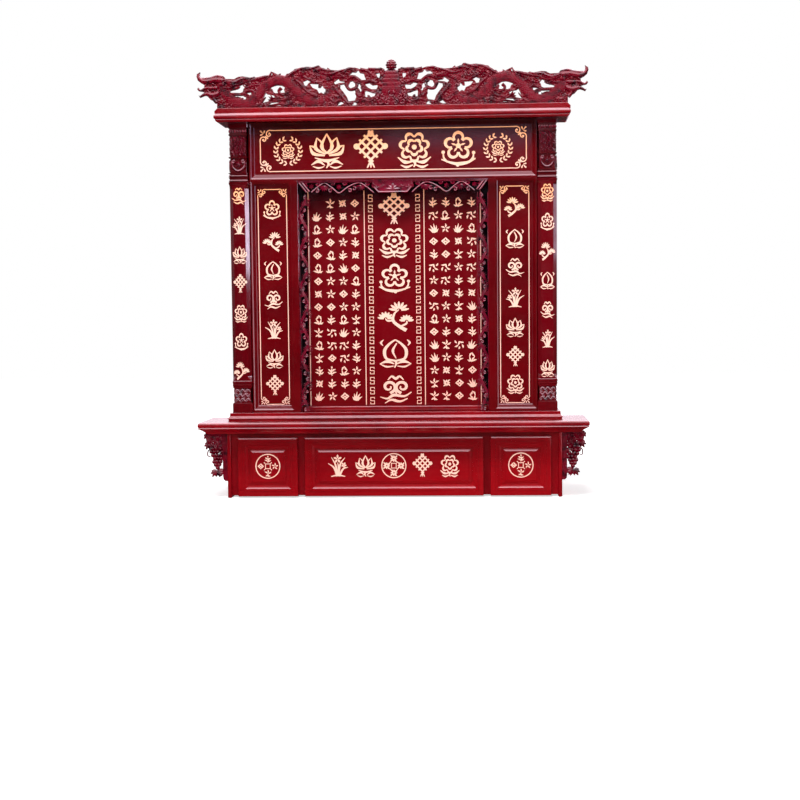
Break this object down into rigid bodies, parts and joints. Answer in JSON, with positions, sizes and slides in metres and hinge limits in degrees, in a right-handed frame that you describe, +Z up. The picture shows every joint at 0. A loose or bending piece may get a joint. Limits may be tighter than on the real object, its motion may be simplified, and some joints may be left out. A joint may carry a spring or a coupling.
{
  "type": "household shrine cabinet",
  "caption": "Lacquered ancestral shrine: columned upper case with a niche and dragon cresting on a side table with drawers.",
  "frame": {"origin": "on the floor under the middle of the table top's width and depth", "axes": "+Z up, the drawers and niche face -Y, +X to the viewer's right, +Y towards the wall"},
  "size_m": [0.883, 0.2, 0.988],
  "materials": {
    "lacquer": "high-gloss red lacquer on hardwood",
    "inner_lacquer": "thin dark red lacquer",
    "drawer_wood": "plain unvarnished board",
    "carving": "gloss red lacquer on carving",
    "gilt": "gilt paint and gilt lines on the lacquer"
  },
  "bodies": {
    "cabinet": {"side_panel_left": "lacquer", "side_panel_right": "lacquer", "drawer_cheek_left": "inner_lacquer", "drawer_cheek_right": "inner_lacquer", "partition_left": "inner_lacquer", "partition_right": "inner_lacquer", "base_bottom": "inner_lacquer", "base_back": "inner_lacquer", "front_rail": "inner_lacquer", "table_top": "lacquer", "grape_bracket_left": "lacquer", "grape_bracket_right": "lacquer", "plinth_board": "lacquer", "case_side_left": "lacquer", "case_side_right": "lacquer", "case_back": "inner_lacquer", "column_left": "lacquer", "column_right": "lacquer", "couplet_board_left": "lacquer", "couplet_board_right": "lacquer", "frieze_board": "lacquer", "niche_side_left": "lacquer", "niche_side_right": "lacquer", "niche_ceiling": "inner_lacquer", "niche_back_board": "lacquer", "niche_sill": "lacquer", "valance": "lacquer", "side_strip_left": "lacquer", "side_strip_right": "lacquer", "cornice": "lacquer", "cresting_rail": "carving", "dragon_left": "carving", "dragon_right": "carving", "finial": "carving"},
    "drawer_left": {"drawer_left_front": "lacquer", "drawer_left_sides": "drawer_wood", "drawer_left_back": "drawer_wood", "drawer_left_bottom": "drawer_wood"},
    "drawer_middle": {"drawer_middle_front": "lacquer", "drawer_middle_sides": "drawer_wood", "drawer_middle_back": "drawer_wood", "drawer_middle_bottom": "drawer_wood"},
    "drawer_right": {"drawer_right_front": "lacquer", "drawer_right_sides": "drawer_wood", "drawer_right_back": "drawer_wood", "drawer_right_bottom": "drawer_wood"}
  },
  "joints": [
    {"name": "drawer_left_slide", "type": "slide", "parent": "cabinet", "child": "drawer_left", "axis": [0, -1, 0], "range_m": [0, 0.09]},
    {"name": "drawer_middle_slide", "type": "slide", "parent": "cabinet", "child": "drawer_middle", "axis": [0, -1, 0], "range_m": [0, 0.09]},
    {"name": "drawer_right_slide", "type": "slide", "parent": "cabinet", "child": "drawer_right", "axis": [0, -1, 0], "range_m": [0, 0.09]}
  ]
}
